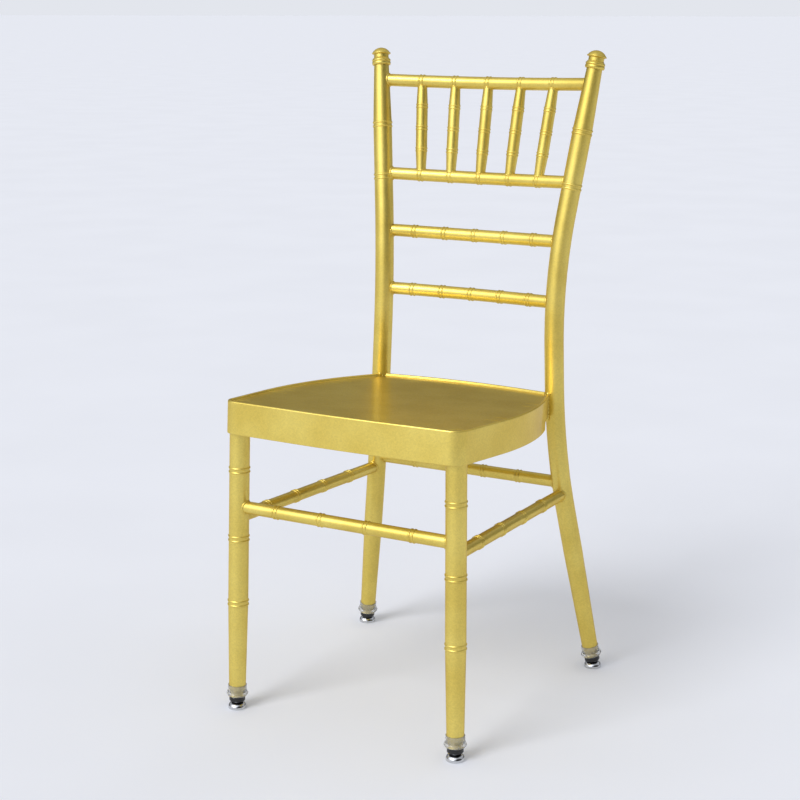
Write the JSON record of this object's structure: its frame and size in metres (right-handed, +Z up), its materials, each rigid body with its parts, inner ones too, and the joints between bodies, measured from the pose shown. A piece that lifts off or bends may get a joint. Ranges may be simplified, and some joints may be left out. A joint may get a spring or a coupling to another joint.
{
  "type": "chiavari chair",
  "caption": "Stacking chiavari banquet chair of gold powder-coated steel tube with bamboo rings, spindle back, sheet-metal seat and tilting glides.",
  "frame": {"origin": "middle of the footprint, on the floor under the glides", "axes": "+Z up, the seat faces -Y, +X is the right-hand side as seen from in front"},
  "size_m": [0.427, 0.4544, 0.9259],
  "materials": {
    "gold_powder_coat": "metallic gold powder coat, semi-gloss",
    "black_nylon": "moulded, satin",
    "clear_plastic": "clear moulded polycarbonate",
    "zinc_steel": "zinc-plated",
    "chrome_plate": "bright chrome plate"
  },
  "bodies": {
    "frame": {"seat_pan": "gold_powder_coat", "rear_post_left": "gold_powder_coat", "front_leg_left": "gold_powder_coat", "side_stretcher_left": "gold_powder_coat", "finial_left": "gold_powder_coat", "rear_post_right": "gold_powder_coat", "front_leg_right": "gold_powder_coat", "side_stretcher_right": "gold_powder_coat", "finial_right": "gold_powder_coat", "front_stretcher": "gold_powder_coat", "rear_stretcher": "gold_powder_coat", "back_rail_1": "gold_powder_coat", "back_rail_2": "gold_powder_coat", "back_rail_3": "gold_powder_coat", "back_rail_4": "gold_powder_coat", "spindle_1": "gold_powder_coat", "spindle_2": "gold_powder_coat", "spindle_3": "gold_powder_coat", "spindle_4": "gold_powder_coat", "spindle_5": "gold_powder_coat", "seat_brace_1": "gold_powder_coat", "seat_brace_2": "gold_powder_coat", "glide_plug_front_left": "black_nylon", "foot_sleeve_front_left": "clear_plastic", "glide_plug_front_right": "black_nylon", "foot_sleeve_front_right": "clear_plastic", "glide_plug_rear_left": "black_nylon", "foot_sleeve_rear_left": "clear_plastic", "glide_plug_rear_right": "black_nylon", "foot_sleeve_rear_right": "clear_plastic"},
    "swivel_front_left": {"glide_stud_front_left": "zinc_steel"},
    "glide_front_left": {"glide_base_front_left": "chrome_plate", "glide_socket_front_left": "black_nylon"},
    "swivel_front_right": {"glide_stud_front_right": "zinc_steel"},
    "glide_front_right": {"glide_base_front_right": "chrome_plate", "glide_socket_front_right": "black_nylon"},
    "swivel_rear_left": {"glide_stud_rear_left": "zinc_steel"},
    "glide_rear_left": {"glide_base_rear_left": "chrome_plate", "glide_socket_rear_left": "black_nylon"},
    "swivel_rear_right": {"glide_stud_rear_right": "zinc_steel"},
    "glide_rear_right": {"glide_base_rear_right": "chrome_plate", "glide_socket_rear_right": "black_nylon"}
  },
  "joints": [
    {"name": "glide_spin_front_left", "type": "hinge", "parent": "frame", "child": "swivel_front_left", "pos_m": [-0.1772, -0.20919, 0.008], "axis": [0.0155, 0.0245, 0.9996], "continuous": true},
    {"name": "glide_tilt_front_left", "type": "hinge", "parent": "swivel_front_left", "child": "glide_front_left", "pos_m": [-0.1772, -0.20919, 0.008], "axis": [-0.8453, 0.5343, 0], "range_deg": [-13.3, 16.6]},
    {"name": "glide_spin_front_right", "type": "hinge", "parent": "frame", "child": "swivel_front_right", "pos_m": [0.1772, -0.20919, 0.008], "axis": [-0.0155, 0.0245, 0.9996], "continuous": true},
    {"name": "glide_tilt_front_right", "type": "hinge", "parent": "swivel_front_right", "child": "glide_front_right", "pos_m": [0.1772, -0.20919, 0.008], "axis": [-0.8453, -0.5343, 0], "range_deg": [-13.3, 16.6]},
    {"name": "glide_spin_rear_left", "type": "hinge", "parent": "frame", "child": "swivel_rear_left", "pos_m": [-0.2003, 0.19061, 0.008], "axis": [0.1444, -0.126, 0.9815], "continuous": true},
    {"name": "glide_tilt_rear_left", "type": "hinge", "parent": "swivel_rear_left", "child": "glide_rear_left", "pos_m": [-0.2003, 0.19061, 0.008], "axis": [0.6573, 0.7536, 0], "range_deg": [-3.9, 26]},
    {"name": "glide_spin_rear_right", "type": "hinge", "parent": "frame", "child": "swivel_rear_right", "pos_m": [0.2003, 0.19061, 0.008], "axis": [-0.1444, -0.126, 0.9815], "continuous": true},
    {"name": "glide_tilt_rear_right", "type": "hinge", "parent": "swivel_rear_right", "child": "glide_rear_right", "pos_m": [0.2003, 0.19061, 0.008], "axis": [0.6573, -0.7536, 0], "range_deg": [-3.9, 26]}
  ]
}
